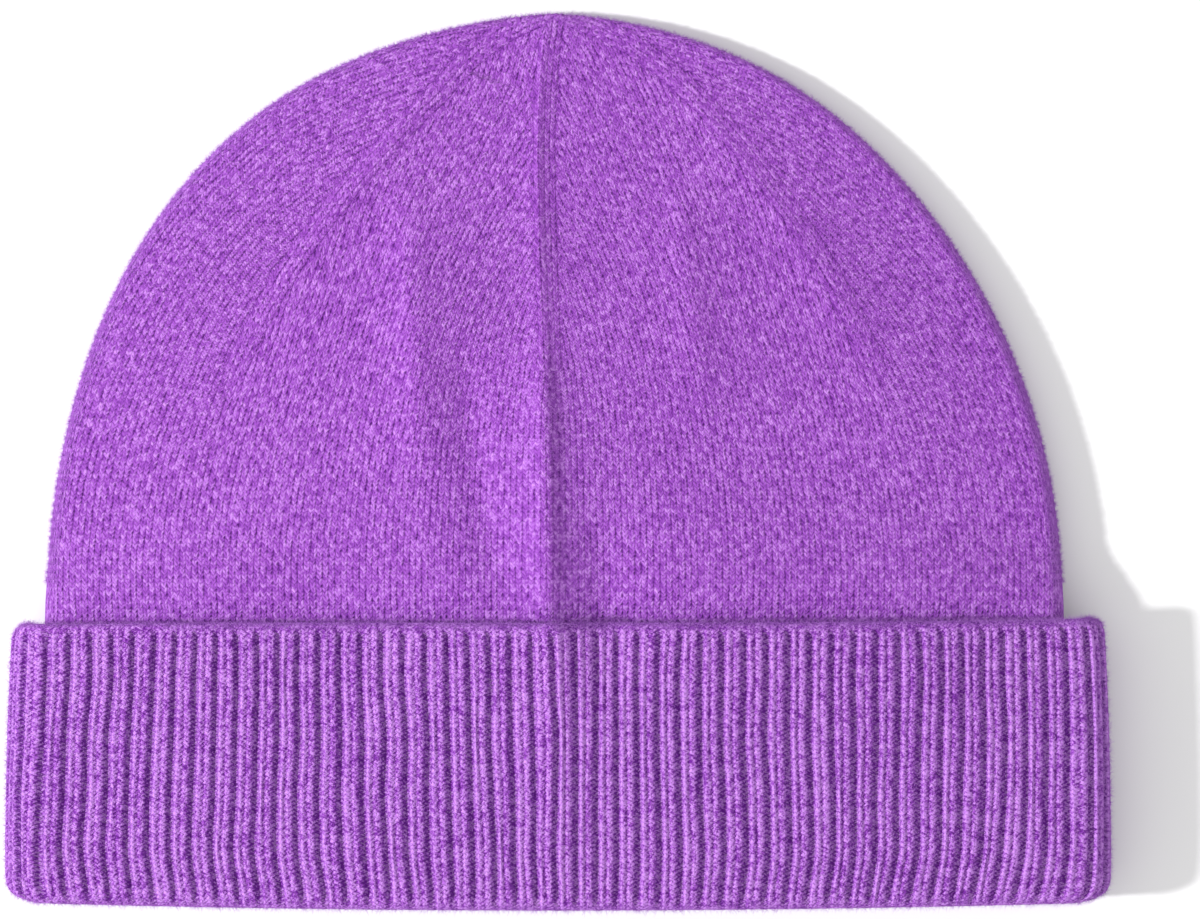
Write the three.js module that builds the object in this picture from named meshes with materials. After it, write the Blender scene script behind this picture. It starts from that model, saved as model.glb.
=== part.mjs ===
// A knitted beanie laid flat on its back: a fine plain-knit crown shaped by decreases, and a ribbed
// band folded up on the outside as a cuff. Both are hollow walls, open at the fold, where the head goes in.
// Millimetres, +Z up. The beanie rests on the plane z = 0, with the crown's tip towards +Y and the
// opening towards -Y. The origin is under the middle of its box.
import * as THREE from "three";

// Outline of the beanie as it lies, seen from above.
const cuffWidth = 234; // widest, just above the fold
const cuffTopWidth = 231; // at the cuff's free edge
const cuffHeight = 61; // from the fold to the free edge
const crownWidth = 215.5; // where the crown comes out of the cuff
const crownHeight = 129; // from the cuff's free edge to the crown's tip
const crownStraight = 4; // straight sides above the free edge, before the crown curves in
const crownOffset = -0.7; // how far the crown lies to one side in the cuff
const crownLean = -2.2; // how much further to that side its tip lies
const foldBow = 1.3; // how far the fold rises from the middle to its ends
const foldCorner = 5; // rounding of the outline at the fold's two ends
const edgeCorner = 3.5; // rounding of the outline at the free edge's two ends

// The knitted walls and the air between them.
const crownWall = 2.2;
const ribWall = 2.6; // over the ribs
const ribDepth = 1.1;
const ribCount = 108;
const hollowGap = 4.4; // clear height inside, along the two side folds
const layerGap = 0.6; // air under the turned-up layer
const joinGap = 0.3; // between the crown's rim and the band's top edge
const joinDepth = 6; // how far under the free edge the crown meets the band

// How the upper layer swells over the hollow.
const domeRise = 10; // at the foot of the crown
const mouthRise = 6.5; // at the fold
const domeSpread = 1.06; // width of the swelling, as a share of the crown's width
const domeFullness = 0.65; // exponent: lower is flatter on top
const settleLength = 42; // length over which the crown sinks from the cuff's level to the floor

// Creases and soft folds of the upper layer, each along a line from (x0, y0) to (x1, y1). x, left and
// right are shares of the crown's half width, y of the length from the fold to the tip, and rise of
// the swelling. left and right are the widths of the slopes on the two sides of the line.
const folds = [
  { name: "middle crease", x0: 0, y0: 0.05, x1: -0.005, y1: 1, rise: 0.15, left: 0.12, right: 0.055 },
  { name: "left fold", x0: -0.2, y0: 0.44, x1: -0.29, y1: 0.78, rise: 0.15, left: 0.1, right: 0.065 },
  { name: "left dent", x0: -0.12, y0: 0.36, x1: -0.18, y1: 0.7, rise: -0.1, left: 0.065, right: 0.075 },
  { name: "right fold", x0: 0.28, y0: 0.46, x1: 0.24, y1: 0.78, rise: 0.1, left: 0.09, right: 0.065 },
  { name: "right dent", x0: 0.1, y0: 0.3, x1: 0.13, y1: 0.72, rise: -0.09, left: 0.065, right: 0.11 },
];

// Fineness of the faceted surfaces.
const crownRings = 14;
const topColumns = 60; // over the crown's upper layer
const underColumns = 20; // over its lower layer
const sideColumns = 8; // round each side fold
const ribSteps = [-0.28, 0.28, 0.5]; // a rib's two shoulders and the groove beside it, in rib widths

// Sizes that follow. Half thicknesses are measured from the layer halfway between front and back.
const totalHeight = cuffHeight + crownHeight;
const foldY = -totalHeight / 2;
const edgeY = foldY + cuffHeight;
const tipY = totalHeight / 2;
const crownHalf = crownWidth / 2;
const cuffHalf = cuffWidth / 2;
const curveY = edgeY + crownStraight;
const curveRise = tipY - curveY;
const bandInner = hollowGap / 2;
const bandOuter = bandInner + ribWall;
const crownInner = hollowGap / 2;
const crownOuter = crownInner + crownWall;
const turnInner = Math.max(bandOuter, crownOuter) + layerGap;
const turnOuter = turnInner + ribWall;
const foldRadius = (turnOuter - bandInner) / 2;
const bandTopY = edgeY - joinDepth;
const rimY = bandTopY + joinGap;

const clamp01 = (t) => Math.min(1, Math.max(0, t));
const smooth = (t) => clamp01(t) ** 2 * (3 - 2 * clamp01(t));
const mix = (a, b, t) => a + (b - a) * t;

// Height of the layer halfway between front and back: level in the cuff, then down to the floor.
function middleHeight(y) {
  return mix(turnOuter, crownOuter, smooth((y - edgeY) / settleLength));
}

// Swelling of the upper layer over the hollow.
function swelling(x, y) {
  const rise = mix(mouthRise, domeRise, smooth((y - foldY) / (curveY - foldY)));
  const across = x / (crownHalf * domeSpread);
  const along = Math.max(0, (y - curveY) / curveRise);
  return rise * Math.max(0, 1 - across ** 2 - along ** 2) ** domeFullness;
}

// Creases and folds of the upper layer: each has a crest line, two slopes and two fading ends.
function creasing(x, y) {
  let height = 0;
  for (const fold of folds) {
    const y0 = foldY + fold.y0 * totalHeight;
    const y1 = foldY + fold.y1 * totalHeight;
    const t = (y - y0) / (y1 - y0);
    if (t <= 0 || t >= 1) continue;
    const crest = mix(fold.x0, fold.x1, t) * crownHalf;
    const slope = Math.abs(x - crest) / (crownHalf * (x < crest ? fold.left : fold.right));
    const ends = Math.sin(Math.PI * t) ** 0.5;
    height += domeRise * fold.rise * ends * Math.exp(-2 * slope);
  }
  return height;
}

// One point of a flattened tube. share runs round it once: over the top from right to left, round the
// left fold, under the beanie, and round the right fold. sideShare is the part of it at each side fold.
function tubePoint(share, sideShare, halfWidth, halfThick, y, shiftX) {
  const flatShare = 0.5 - sideShare;
  const flatHalf = halfWidth - halfThick;
  const along = share % 0.5;
  const over = share < 0.5 ? 1 : -1;
  let x = over * flatHalf * (1 - (2 * along) / flatShare);
  let lift = over;
  if (along > flatShare) {
    const angle = (Math.PI * (along - flatShare)) / sideShare;
    x = over * (-flatHalf - halfThick * Math.sin(angle));
    lift = over * Math.cos(angle);
  }
  const upper = Math.max(0, lift) * (swelling(x, y) + creasing(x, y));
  return new THREE.Vector3(x + shiftX, y, middleHeight(y) + halfThick * lift + upper);
}

// A closed surface over a chain of rings, each { points, shares }. Neighbouring rings may have
// different numbers of points. With caps, each end of the chain closes on its own point.
function surfaceOver(rings, caps) {
  const positions = [];
  const triangle = (a, b, c) => {
    for (const p of [a, b, c]) positions.push(p.x, p.y, p.z);
  };
  const shareAfter = ({ shares }, i) => {
    if (i < shares.length - 1) return shares[i + 1];
    return i < shares.length ? shares[0] + 1 : Infinity;
  };
  const join = (a, b) => {
    let i = 0;
    let j = 0;
    while (i < a.points.length || j < b.points.length) {
      const p = a.points[i % a.points.length];
      const q = b.points[j % b.points.length];
      if (shareAfter(a, i) <= shareAfter(b, j)) triangle(p, a.points[++i % a.points.length], q);
      else triangle(p, b.points[++j % b.points.length], q);
    }
  };
  for (let k = 1; k < rings.length; k++) join(rings[k - 1], rings[k]);
  if (!caps) {
    join(rings.at(-1), rings[0]);
  } else {
    const fan = (ring, tip, outward) => {
      ring.points.forEach((p, i) => {
        const next = ring.points[(i + 1) % ring.points.length];
        if (outward) triangle(tip, next, p);
        else triangle(tip, p, next);
      });
    };
    fan(rings[0], caps.first, true);
    fan(rings.at(-1), caps.last, false);
  }
  const geometry = new THREE.BufferGeometry();
  geometry.setAttribute("position", new THREE.Float32BufferAttribute(positions, 3));
  geometry.computeVertexNormals();
  return geometry;
}

// Crown: an outer and an inner skin over the same curves, joined round the rim.
function crownShares() {
  const shares = [];
  const sideShare = 0.05;
  const flatShare = 0.5 - sideShare;
  for (let i = 0; i < topColumns; i++) shares.push((flatShare * i) / topColumns);
  for (let i = 0; i < sideColumns; i++) shares.push(flatShare + (sideShare * i) / sideColumns);
  for (let i = 0; i < underColumns; i++) shares.push(0.5 + (flatShare * i) / underColumns);
  for (let i = 0; i < sideColumns; i++) shares.push(0.5 + flatShare + (sideShare * i) / sideColumns);
  return { shares, sideShare };
}

function crownShift(y) {
  return crownOffset + crownLean * Math.max(0, (y - curveY) / curveRise) ** 2;
}

function crownRing(y, half, thick, inset) {
  const { shares, sideShare } = crownShares();
  const rise = curveRise - inset;
  const up = Math.max(0, (y - curveY) / rise);
  const halfWidth = (half - inset) * Math.sqrt(Math.max(0, 1 - up * up));
  const intoTip = Math.max(0, (y - (curveY + rise - thick)) / thick);
  const halfThick = thick * Math.sqrt(Math.max(0, 1 - intoTip * intoTip));
  const points = shares.map((s) => tubePoint(s, sideShare, halfWidth, halfThick, y, crownShift(y)));
  return { points, shares };
}

function crownSkin(thick, inset) {
  const rise = curveRise - inset;
  const rings = [];
  for (let k = crownRings - 1; k >= 0; k--) {
    const angle = ((Math.PI / 2) * k) / crownRings;
    rings.push(crownRing(curveY + rise * Math.sin(angle), crownHalf, thick, inset));
  }
  rings.push(crownRing(edgeY, crownHalf, thick, inset));
  rings.push(crownRing(rimY, crownHalf, thick, inset));
  const tip = new THREE.Vector3(crownShift(curveY + rise), curveY + rise, middleHeight(tipY));
  return { rings, tip };
}

function crownGeometry() {
  const outer = crownSkin(crownOuter, 0);
  const inner = crownSkin(crownInner, crownWall);
  return surfaceOver([...outer.rings, ...inner.rings.reverse()], { first: outer.tip, last: inner.tip });
}

// Cuff: one wall, bent into a U at the fold. Its section is a chain of stations round the U, each with
// its height, its half width and half thickness as a tube, and how much of the ribs' depth it shows.
function cuffSection() {
  const foldHalf = cuffHalf - ribWall - layerGap; // the inner layer, just above the fold
  const atRim = smooth((bandTopY - foldY) / cuffHeight);
  const bandHalf = (y) => mix(foldHalf, crownHalf, smooth((y - foldY) / cuffHeight) / atRim);
  const turnHalf = (y) => mix(cuffHalf, cuffTopWidth / 2, clamp01((y - foldY) / cuffHeight));
  const aboveFold = foldY + foldRadius;
  const belowEdge = edgeY - edgeCorner;
  const bandMiddle = (aboveFold + bandTopY) / 2;
  const onFold = (angle, corner) => ({
    y: aboveFold - foldRadius * Math.sin(angle),
    halfWidth: mix(foldHalf - ribWall, cuffHalf, (1 - Math.cos(angle)) / 2) - corner,
    halfThick: bandInner + foldRadius * (1 - Math.cos(angle)),
    ribs: 0,
  });
  const outside = (y) => ({ y, halfWidth: turnHalf(y), halfThick: turnOuter, ribs: 1 });
  return [
    { y: bandTopY, halfWidth: bandHalf(bandTopY) - ribWall, halfThick: bandInner, ribs: 0 },
    { y: bandMiddle, halfWidth: bandHalf(bandMiddle) - ribWall, halfThick: bandInner, ribs: 0 },
    onFold(0, 0),
    onFold(Math.PI / 4, foldCorner * 0.3),
    onFold(Math.PI / 2, foldCorner),
    { ...onFold(Math.PI * 0.75, foldCorner * 0.3), ribs: 0.5 },
    outside(aboveFold),
    outside(mix(aboveFold, belowEdge, 0.33)),
    outside(mix(aboveFold, belowEdge, 0.67)),
    outside(belowEdge),
    { y: edgeY, halfWidth: cuffTopWidth / 2 - edgeCorner, halfThick: turnOuter - ribWall / 2, ribs: 0 },
    { y: belowEdge, halfWidth: turnHalf(belowEdge) - ribWall, halfThick: turnInner, ribs: 0 },
    { y: aboveFold, halfWidth: cuffHalf - ribWall, halfThick: turnInner, ribs: 0 },
    { y: foldY + ribWall, halfWidth: foldHalf - foldCorner, halfThick: (turnInner + bandOuter) / 2, ribs: 0 },
    { y: aboveFold, halfWidth: foldHalf, halfThick: bandOuter, ribs: 0 },
    { y: bandTopY, halfWidth: bandHalf(bandTopY), halfThick: bandOuter, ribs: 0 },
  ];
}

function cuffRing({ y, halfWidth, halfThick, ribs }) {
  const roundSide = Math.PI * turnOuter;
  const sideShare = roundSide / (4 * (cuffHalf - turnOuter) + 2 * roundSide);
  const shares = [];
  const points = [];
  for (let rib = 0; rib < ribCount; rib++) {
    for (const step of ribs ? ribSteps : [0]) {
      const share = (rib + 0.5 + step) / ribCount;
      const wrapped = share % 1;
      const sunk = step === ribSteps.at(-1) ? ribDepth * ribs : 0;
      const point = tubePoint(wrapped, sideShare, halfWidth - sunk, halfThick - sunk, y, 0);
      const open = 1 - (y - foldY) / cuffHeight;
      point.y += foldBow * open * (point.x / cuffHalf) ** 2;
      shares.push(share);
      points.push(point);
    }
  }
  return { points, shares };
}

function cuffGeometry() {
  return surfaceOver(cuffSection().map(cuffRing).reverse());
}

function piece(name, geometry, color, roughness) {
  const mesh = new THREE.Mesh(geometry, new THREE.MeshStandardMaterial({ color, roughness, metalness: 0 }));
  mesh.name = name;
  return mesh;
}

const beanie = new THREE.Group();
beanie.add(piece("crown", crownGeometry(), 0xa560c8, 0.95));
beanie.add(piece("cuff", cuffGeometry(), 0x9d5ebe, 0.95));

export default beanie;
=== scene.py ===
# A fine-knit purple beanie lying flat on a pale floor, seen from straight above.
# Sizes are in millimetres until a shape is set into its mesh: +X right, +Y to the crown's tip, +Z up.
import math

import bpy
import numpy as np
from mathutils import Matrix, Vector


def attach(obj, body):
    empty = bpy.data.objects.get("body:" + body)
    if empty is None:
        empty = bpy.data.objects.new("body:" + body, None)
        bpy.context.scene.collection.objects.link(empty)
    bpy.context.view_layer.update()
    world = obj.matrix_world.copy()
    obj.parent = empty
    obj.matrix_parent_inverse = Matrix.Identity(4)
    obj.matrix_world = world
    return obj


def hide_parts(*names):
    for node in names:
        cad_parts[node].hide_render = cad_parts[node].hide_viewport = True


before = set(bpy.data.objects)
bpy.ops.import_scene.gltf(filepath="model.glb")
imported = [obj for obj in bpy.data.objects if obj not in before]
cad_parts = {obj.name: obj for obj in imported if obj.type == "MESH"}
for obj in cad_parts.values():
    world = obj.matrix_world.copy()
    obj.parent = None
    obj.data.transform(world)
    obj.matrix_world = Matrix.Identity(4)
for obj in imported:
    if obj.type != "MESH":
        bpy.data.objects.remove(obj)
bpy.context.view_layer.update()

MM = 0.001

# The outline, as the beanie lies.
CUFF_HALF = 117.0
CUFF_TOP_HALF = 115.5
CUFF_HEIGHT = 61.0
CROWN_HALF = 107.75
CROWN_HEIGHT = 129.0
CROWN_STRAIGHT = 4.0
CROWN_OFFSET = -0.85
CROWN_LEAN = -2.1
CROWN_FULLER = 0.7
CROWN_ARCH = 2.5
CROWN_POINT = 5.5
POINT_FROM = 0.8
POINT_SHARE = 0.2
FOLD_BOW = 1.0
FOLD_LIFT = 0.7
FOLD_CORNER = 5.3
EDGE_CORNER = 3.4
EDGE_TILT = 0.7
CUFF_BULGE = 0.5

# Walls and the room between them.
CROWN_WALL = 2.2
RIB_WALL = 2.6
HOLLOW_GAP = 4.4
LAYER_GAP = 0.6
JOIN_GAP = 1.0
JOIN_DEPTH = 6.0

# Swelling of the upper layer.
DOME_RISE = 10.0
MOUTH_RISE = 6.5
DOME_SPREAD = 1.06
DOME_FULLNESS = 1.15
SETTLE_LENGTH = 42.0
SETTLE_SIDE = 15.0
SETTLE_POWER = 1.5
EDGE_THICK = 3.5
TIP_THICK = 2.4
SQUARENESS = 0.8
TUCK_DEPTH = 1.2
TUCK_LENGTH = 2.5
TUCK_ABOVE = 0.5
TUCK_SIDE = 0.03

# The knitting. One repeat of the rib is a groove and two wales: RIB_PHASES are places across it,
# RIB_HEIGHTS its heights there as shares of RIB_DEPTH, and GROOVE is the groove's share of it.
WALES = 348
GORE_WALE = 1.18
COURSE = 0.92
GORES = 6
RIBS = 108
RIB_COURSE = 0.95
RIB_DEPTH = 1.15
RIB_PHASES = (0.0, 0.05, 0.15, 0.25, 0.31, 0.37, 0.48, 0.6, 0.71, 0.77, 0.86, 0.94)
RIB_HEIGHTS = (-0.62, -0.95, -1.0, -0.95, -0.55, -0.2, -0.1, -0.18, -0.36, -0.14, 0.0, -0.2)
GROOVE = 0.31

# Lengths that follow.
TOTAL = CUFF_HEIGHT + CROWN_HEIGHT
FOLD_Y = -TOTAL / 2
EDGE_Y = FOLD_Y + CUFF_HEIGHT
TIP_Y = TOTAL / 2
CURVE_Y = EDGE_Y + CROWN_STRAIGHT
CURVE_RISE = TIP_Y - CURVE_Y
BAND_INNER = HOLLOW_GAP / 2
BAND_OUTER = BAND_INNER + RIB_WALL
CROWN_THICK = HOLLOW_GAP / 2 + CROWN_WALL
TURN_INNER = max(BAND_OUTER, CROWN_THICK) + LAYER_GAP
TURN_OUTER = TURN_INNER + RIB_WALL
BAND_TOP_Y = EDGE_Y - JOIN_DEPTH
RIM_Y = BAND_TOP_Y + JOIN_GAP

# Soft folds of the upper layer: a line from (x0, y0) to (x1, y1) that bows sideways, its rise, the
# widths of its two slopes and how rounded its crest is. x and bow are shares of the crown's half
# width and y a share of the length from fold to tip; the other lengths are in millimetres.
FOLDS = (
    # The crease down the middle, sharp towards the tip and softer at the cuff.
    dict(x0=-0.01, y0=0.3, x1=-0.01, y1=1.02, bow=-0.004, rise=1.7, left=7.0, right=3.8, soft=0.25),
    dict(x0=0.0, y0=0.0, x1=-0.012, y1=0.66, bow=-0.004, rise=1.5, left=8.0, right=6.0, soft=1.2),
    # The swelling that leans on its left, and the hollow on its right at the cuff.
    dict(x0=-0.01, y0=0.28, x1=-0.03, y1=0.62, bow=0.0, rise=1.6, left=12.0, right=11.0, soft=1.5),
    dict(x0=0.1, y0=0.22, x1=0.09, y1=0.46, bow=0.0, rise=-2.6, left=11.0, right=18.0, soft=2.0),
    # The fold to its left, and the hollow that bends round its foot.
    dict(x0=-0.26, y0=0.48, x1=-0.27, y1=0.82, bow=0.0, rise=2.6, left=8.0, right=18.0, soft=2.0),
    dict(x0=-0.09, y0=0.33, x1=-0.17, y1=0.64, bow=-0.02, rise=-2.4, left=9.0, right=9.0, soft=2.5),
    # The fold to its right.
    dict(x0=0.3, y0=0.54, x1=0.26, y1=0.82, bow=0.0, rise=1.2, left=14.0, right=8.0, soft=1.0),
    # Low ridges along the lines of decreases.
    dict(x0=-0.58, y0=0.64, x1=-0.15, y1=0.97, bow=0.0, rise=0.8, left=9.0, right=7.0, soft=0.8),
    dict(x0=0.64, y0=0.6, x1=0.22, y1=0.95, bow=0.03, rise=0.7, left=10.0, right=6.0, soft=0.8),
    # Slacker places further out.
    dict(x0=-0.45, y0=0.18, x1=-0.4, y1=0.66, bow=0.0, rise=-1.8, left=40.0, right=34.0, soft=12.0),
    dict(x0=0.52, y0=0.22, x1=0.45, y1=0.8, bow=0.0, rise=-0.8, left=40.0, right=30.0, soft=10.0),
)
# How full a fold stays towards its ends, and how quickly it falls off down its slopes.
FOLD_ENDS = 0.7
FOLD_FALL = 2.0


def smooth(t):
    t = np.clip(t, 0.0, 1.0)
    return t * t * (3.0 - 2.0 * t)


def mix(a, b, t):
    return a + (b - a) * t


def settled_thick(y):
    """Half thickness of the crown's side folds, less towards the tip."""
    up = np.clip((y - CURVE_Y) / CURVE_RISE, 0.0, 1.0)
    return mix(EDGE_THICK, TIP_THICK, up**SETTLE_POWER)


def middle_height(x, y):
    """Height of the layer halfway between front and back: level in the cuff, then down to the
    floor, sooner at the sides than in the middle."""
    length = mix(SETTLE_LENGTH, SETTLE_SIDE, (x / CROWN_HALF) ** 2)
    return mix(TURN_OUTER, settled_thick(y), smooth((y - EDGE_Y) / np.maximum(length, SETTLE_SIDE)))


def swelling(x, y):
    """How far the upper layer is raised by the room inside."""
    rise = mix(MOUTH_RISE, DOME_RISE, smooth((y - FOLD_Y) / (CURVE_Y - FOLD_Y)))
    across = x / (CROWN_HALF * DOME_SPREAD)
    along = np.maximum(0.0, (y - CURVE_Y) / CURVE_RISE)
    return rise * np.maximum(0.0, 1.0 - across**2 - along**2) ** DOME_FULLNESS


def folding(x, y):
    """How far the upper layer is raised by its folds."""
    height = np.zeros_like(x + y)
    for fold in FOLDS:
        y0 = FOLD_Y + fold["y0"] * TOTAL
        y1 = FOLD_Y + fold["y1"] * TOTAL
        t = np.clip((y - y0) / (y1 - y0), 0.0, 1.0)
        crest = (mix(fold["x0"], fold["x1"], t) + fold["bow"] * np.sin(math.pi * t)) * CROWN_HALF
        width = np.where(x < crest, fold["left"], fold["right"])
        away = np.hypot(x - crest, fold["soft"]) - fold["soft"]
        height += fold["rise"] * np.sin(math.pi * t) ** FOLD_ENDS * np.exp(-FOLD_FALL * away / width)
    return height


def tuck(y):
    """How far the upper layer of the crown is held down where it leaves the cuff."""
    return TUCK_DEPTH * np.exp(-(((y - EDGE_Y - TUCK_ABOVE) / TUCK_LENGTH) ** 2))


def flattened(turn, side, half_width, half_thick, draw=0.0):
    """Across and lift of a flattened tube. turn runs round it once from the middle of its upper
    layer, to the left first, side is the share of it that bends round each side fold, and draw is
    how far its columns are drawn in towards the middle. The bends are squarer than a circle's."""
    turn = turn % 1.0
    hand = np.where(turn < 0.5, -1.0, 1.0)
    way = np.minimum(turn, 1.0 - turn)
    flat = 0.25 - side / 2
    bend = np.clip((way - flat) / side, 0.0, 1.0) * math.pi
    flat_half = half_width - half_thick
    share = np.minimum(np.where(way < 0.25, way, 0.5 - way) / flat, 1.0)
    share = share * (1.0 - draw * (1.0 - share * share))
    across = hand * (flat_half * share + half_thick * np.sin(bend) ** SQUARENESS)
    return across, np.sign(np.cos(bend)) * np.abs(np.cos(bend)) ** SQUARENESS


def tube_points(turn, side, half_width, half_thick, y, shift, draw=0.0):
    """Points on the tube as it lies, with the swelling and the folds in its upper layer."""
    across, lift = flattened(turn, side, half_width, half_thick, draw)
    upper = np.maximum(0.0, lift) * (swelling(across, y) + folding(across, y))
    height = middle_height(across, y) + half_thick * lift + upper
    return np.stack([across + shift, y + 0.0 * across, height], axis=-1)


def pick_only(piece):
    bpy.ops.object.select_all(action="DESELECT")
    piece.select_set(True)
    bpy.context.view_layer.objects.active = piece


def set_shape(piece, points):
    """Moves each vertex to its point, given in millimetres."""
    piece.data.vertices.foreach_set("co", (points * MM).astype(np.float32).ravel())
    piece.data.update()


def close_seams(piece):
    pick_only(piece)
    bpy.ops.object.mode_set(mode="EDIT")
    bpy.ops.mesh.select_all(action="SELECT")
    bpy.ops.mesh.remove_doubles(threshold=0.00001)
    bpy.ops.mesh.normals_make_consistent(inside=False)
    bpy.ops.object.mode_set(mode="OBJECT")


def add_modifier(piece, name, kind, **settings):
    pick_only(piece)
    modifier = piece.modifiers.new(name, kind)
    for key, value in settings.items():
        setattr(modifier, key, value)
    bpy.ops.object.modifier_apply(modifier=name)


def mesh_points(piece):
    points = np.empty(len(piece.data.vertices) * 3, dtype=np.float32)
    piece.data.vertices.foreach_get("co", points)
    return points.reshape(-1, 3).astype(np.float64) / MM


def corner_vertices(mesh):
    """The vertex at each corner of each face."""
    corner = np.empty(len(mesh.loops), dtype=np.int32)
    mesh.loops.foreach_get("vertex_index", corner)
    return corner


def write_map(mesh, name, uv):
    """Stores a UV map; the first one takes the place of the grid's own."""
    layer = mesh.uv_layers.get("UVMap") or mesh.uv_layers.new(name=name)
    layer.name = name
    layer.data.foreach_set("uv", uv.astype(np.float32).ravel())


# Crown: a sheet of plain knitting, wrapped into a flattened tube, closed down its seam and at its tip.
CROWN_COLUMNS = 300
CROWN_ROWS = 120
CROWN_HIDDEN_ROWS = 12
CROWN_SIDE = 0.045
STRAIGHT_SHARE = 0.08
DRAW_LEFT = 1.3
DRAW_RIGHT = 0.6
DRAW_POWER = 2.5
DRAW_MOST = 0.9


def crown_profile(y):
    """Half width, half thickness and sideways shift of the crown at height y."""
    up = np.clip((y - CURVE_Y) / CURVE_RISE, 0.0, 1.0)
    arch = 4.0 * up**CROWN_ARCH * (1.0 - up**CROWN_ARCH)
    pointed = CROWN_POINT * np.clip((up - POINT_FROM) / POINT_SHARE, 0.0, 1.0) ** 3
    half_width = np.maximum(0.0, CROWN_HALF * np.sqrt(1.0 - up * up) + CROWN_FULLER * arch - pointed)
    into_tip = np.clip((y - (TIP_Y - CROWN_THICK)) / CROWN_THICK, 0.0, 1.0)
    settled = smooth((y - EDGE_Y) / SETTLE_SIDE)
    half_thick = mix(CROWN_THICK, settled_thick(y), settled) * np.sqrt(1.0 - into_tip * into_tip)
    return half_width, np.minimum(half_thick, half_width), CROWN_OFFSET + CROWN_LEAN * arch


def crown_heights(rows):
    """Even steps along the outline, from the hidden rim to the tip."""
    straight = int(round(rows * STRAIGHT_SHARE))
    angles = np.linspace(0.0, math.pi / 2, rows - straight + 1)
    low = np.linspace(RIM_Y, CURVE_Y, straight, endpoint=False)
    return np.concatenate([low, CURVE_Y + CURVE_RISE * np.sin(angles)])


def crown_surface(turn, y):
    """Points on the crown's outer face, its columns drawn in towards the middle by the tip."""
    half_width, half_thick, shift = crown_profile(y)
    up = np.clip((y - CURVE_Y) / CURVE_RISE, 0.0, 1.0)
    draw = np.where(turn % 1.0 < 0.5, DRAW_LEFT, DRAW_RIGHT) * up**DRAW_POWER
    draw = np.minimum(draw, DRAW_MOST)
    points = tube_points(turn, CROWN_SIDE, half_width, half_thick, y, shift, draw)
    way = np.minimum(turn % 1.0, 1.0 - turn % 1.0)
    points[..., 2] -= tuck(y) * smooth((0.25 - CROWN_SIDE / 2 - way) / TUCK_SIDE)
    return points


def knitted_sheet(name, columns, rows):
    """A flat grid of knitting, columns by rows of faces, still to be shaped and joined."""
    bpy.ops.mesh.primitive_grid_add(x_subdivisions=columns, y_subdivisions=rows, size=CROWN_HALF * MM)
    sheet = bpy.context.object
    sheet.name = sheet.data.name = name
    return sheet


def make_crown():
    crown = knitted_sheet("crown_knit", CROWN_COLUMNS, CROWN_ROWS)
    turn, y = np.meshgrid(np.linspace(0.0, 1.0, CROWN_COLUMNS + 1), crown_heights(CROWN_ROWS))
    set_shape(crown, crown_surface(turn, y).reshape(-1, 3))
    write_crown_stitches(crown, turn.ravel(), y.ravel())
    close_seams(crown)
    add_modifier(crown, "wall", "SOLIDIFY", thickness=CROWN_WALL * MM, offset=-1.0)
    return crown


# How far up the crown its wales begin to lean, lean fully, and are first drawn in by a decrease,
# as angles of the outline. Strips are STRIP_WALES wide to each side of a line of decreases; a place
# outside them all has OUTSIDE_STRIPS for its wale.
LEAN_FROM = math.radians(8)
LEAN_FULL = math.radians(45)
DECREASE_FROM = math.radians(23)
STRIP_WALES = 2.0
OUTSIDE_STRIPS = 50.0

# Turns from the middle of a layer to the lines that its gores follow, and how finely these are cut.
SIDE_GUIDE = 0.25
MIDDLE_GUIDE = 1 / 12
GUIDE_STEPS = 260
POINTS_AT_ONCE = 4000


def along_line(turn_at, points):
    """Distance of each point from the knitted line at turn_at, seen from above, and the length
    along that line to the nearest place on it."""
    y = crown_heights(GUIDE_STEPS)
    line = crown_surface(np.full_like(y, turn_at), y)[:, :2]
    length = np.concatenate([[0.0], np.cumsum(np.linalg.norm(np.diff(line, axis=0), axis=1))])
    distance = np.empty(len(points))
    along = np.empty(len(points))
    for start in range(0, len(points), POINTS_AT_ONCE):
        these = slice(start, start + POINTS_AT_ONCE)
        part = points[these, None, :2] - line[None]
        gap = np.einsum("ijk,ijk->ij", part, part)
        distance[these] = np.sqrt(gap.min(axis=1))
        along[these] = length[gap.argmin(axis=1)]
    return distance, along


def round_fold(distance):
    """Length over the surface from the side fold's crest, from its distance seen from above."""
    bend = np.arccos(np.clip(1.0 - distance / CROWN_THICK, -1.0, 1.0)) * CROWN_THICK
    return np.where(distance < CROWN_THICK, bend, distance + CROWN_THICK * (math.pi / 2 - 1.0))


def turn_from(start, turn):
    """The turn from start, the shorter way round."""
    return (turn - start + 0.5) % 1.0 - 0.5


def face_corners(faces):
    """The corners of the sheet's faces, four to each."""
    return (faces[:, None] * 4 + np.arange(4)).ravel()


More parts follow.
